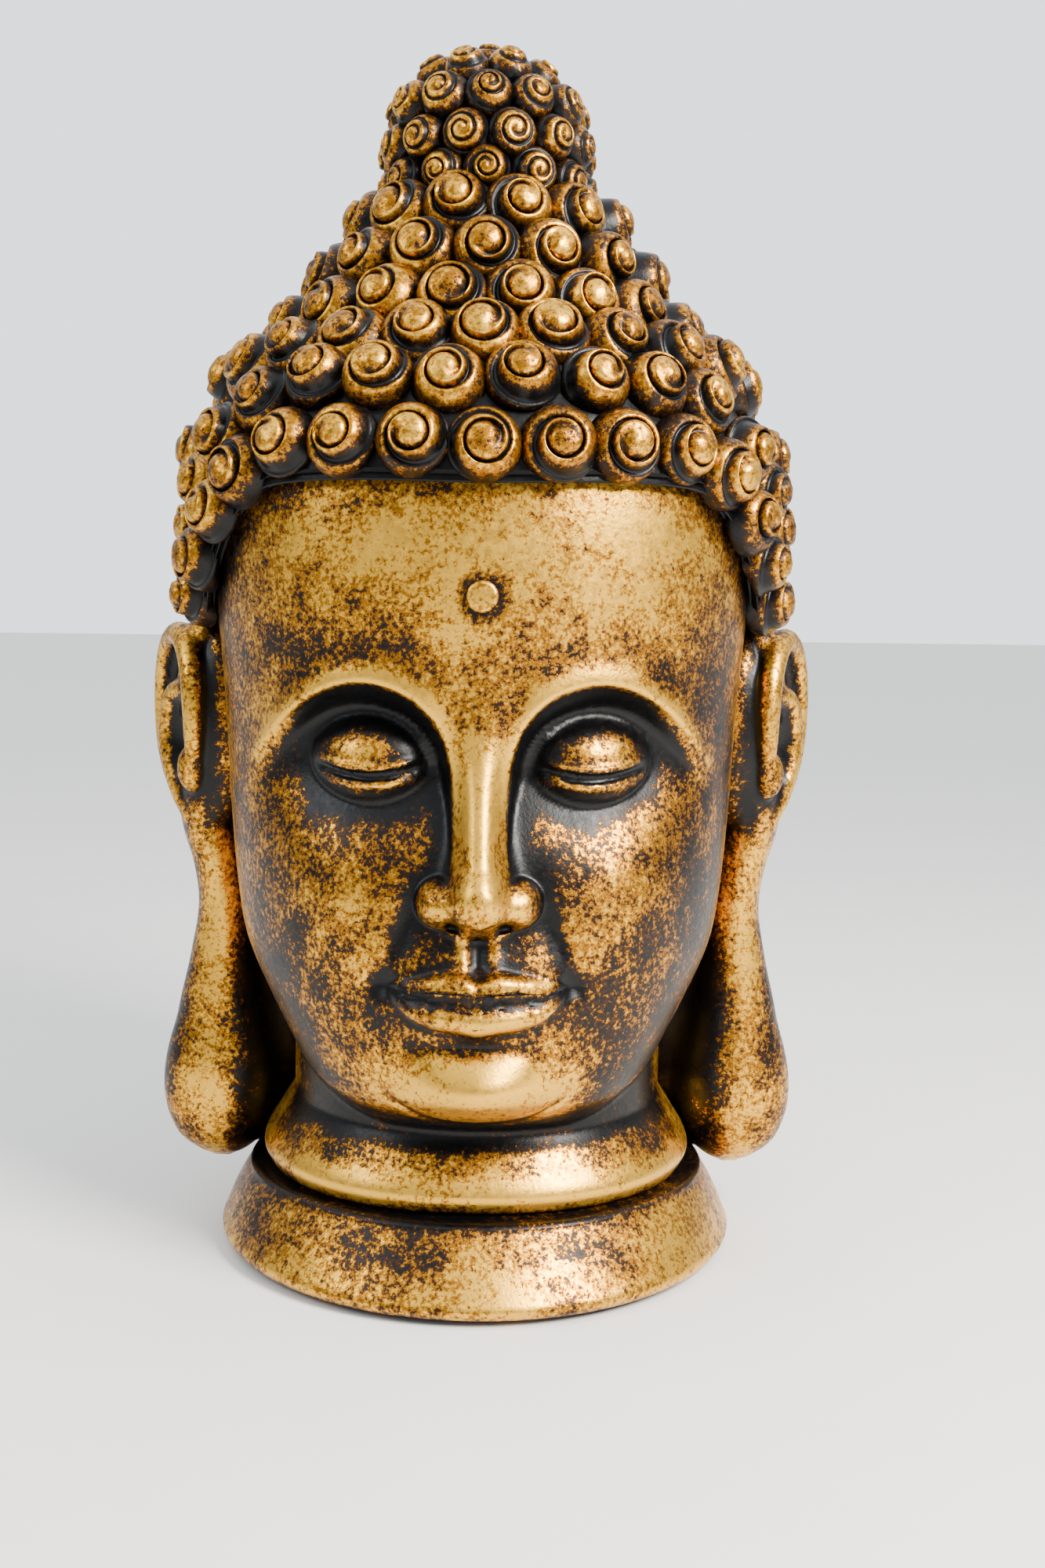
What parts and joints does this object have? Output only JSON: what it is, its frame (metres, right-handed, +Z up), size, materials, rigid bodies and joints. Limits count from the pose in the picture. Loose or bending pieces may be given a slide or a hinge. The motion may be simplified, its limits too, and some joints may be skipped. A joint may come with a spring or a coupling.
{
  "type": "buddha head statue",
  "caption": "Free-standing cast head of a meditating figure with snail-curl hair, curled topknot, long-lobed ears and a flared collar, black dry-brushed with gold.",
  "frame": {"origin": "on the rest plane, under the middle of the head and its collar", "axes": "+Z up, the face looks along -Y, +X towards the statue's left ear (the viewer's right)"},
  "size_m": [0.268, 0.2529, 0.4622],
  "materials": {
    "gilded_head": "cast resin, satin black undercoat dry-brushed with metallic gold paint, speckled where the two meet",
    "gilded_collar": "cast resin, black undercoat with gold paint brushed up and down",
    "dark_hair_ground": "cast resin left in its satin black undercoat",
    "gilded_curls": "cast resin curls, black in the grooves and gold on the domes",
    "gilded_ears": "cast resin, black undercoat with gold on the rims and lobes",
    "gilded_urna": "cast resin disc, gold paint",
    "base_board": "flat black moulded board",
    "bung_rubber": "black moulded rubber",
    "pad_felt": "pressed black felt",
    "dowel_wood": "plain turned hardwood"
  },
  "bodies": {
    "root": {"head_shell": "gilded_head", "collar": "gilded_collar", "hair_cap": "dark_hair_ground", "front_curl_row_1": "gilded_curls", "front_curl_row_2": "gilded_curls", "cap_curl_ring_1": "gilded_curls", "cap_curl_ring_2": "gilded_curls", "cap_curl_ring_3": "gilded_curls", "cap_curl_ring_4": "gilded_curls", "back_curl_row_1": "gilded_curls", "back_curl_row_2": "gilded_curls", "back_curl_row_3": "gilded_curls", "back_curl_row_4": "gilded_curls", "back_curl_row_5": "gilded_curls", "back_curl_row_6": "gilded_curls", "back_curl_row_7": "gilded_curls", "back_curl_row_8": "gilded_curls", "back_curl_row_9": "gilded_curls", "topknot_core": "dark_hair_ground", "topknot_curl_ring_1": "gilded_curls", "topknot_curl_ring_2": "gilded_curls", "topknot_curl_ring_3": "gilded_curls", "topknot_curl_ring_4": "gilded_curls", "crown_curl": "gilded_curls", "right_ear": "gilded_ears", "left_ear": "gilded_ears", "urna_dot": "gilded_urna", "base_plate": "base_board", "filler_bung": "bung_rubber", "felt_pad_1": "pad_felt", "felt_pad_2": "pad_felt", "felt_pad_3": "pad_felt", "felt_pad_4": "pad_felt", "right_ear_dowel": "dowel_wood", "left_ear_dowel": "dowel_wood", "topknot_dowel": "dowel_wood"}
  },
  "joints": []
}
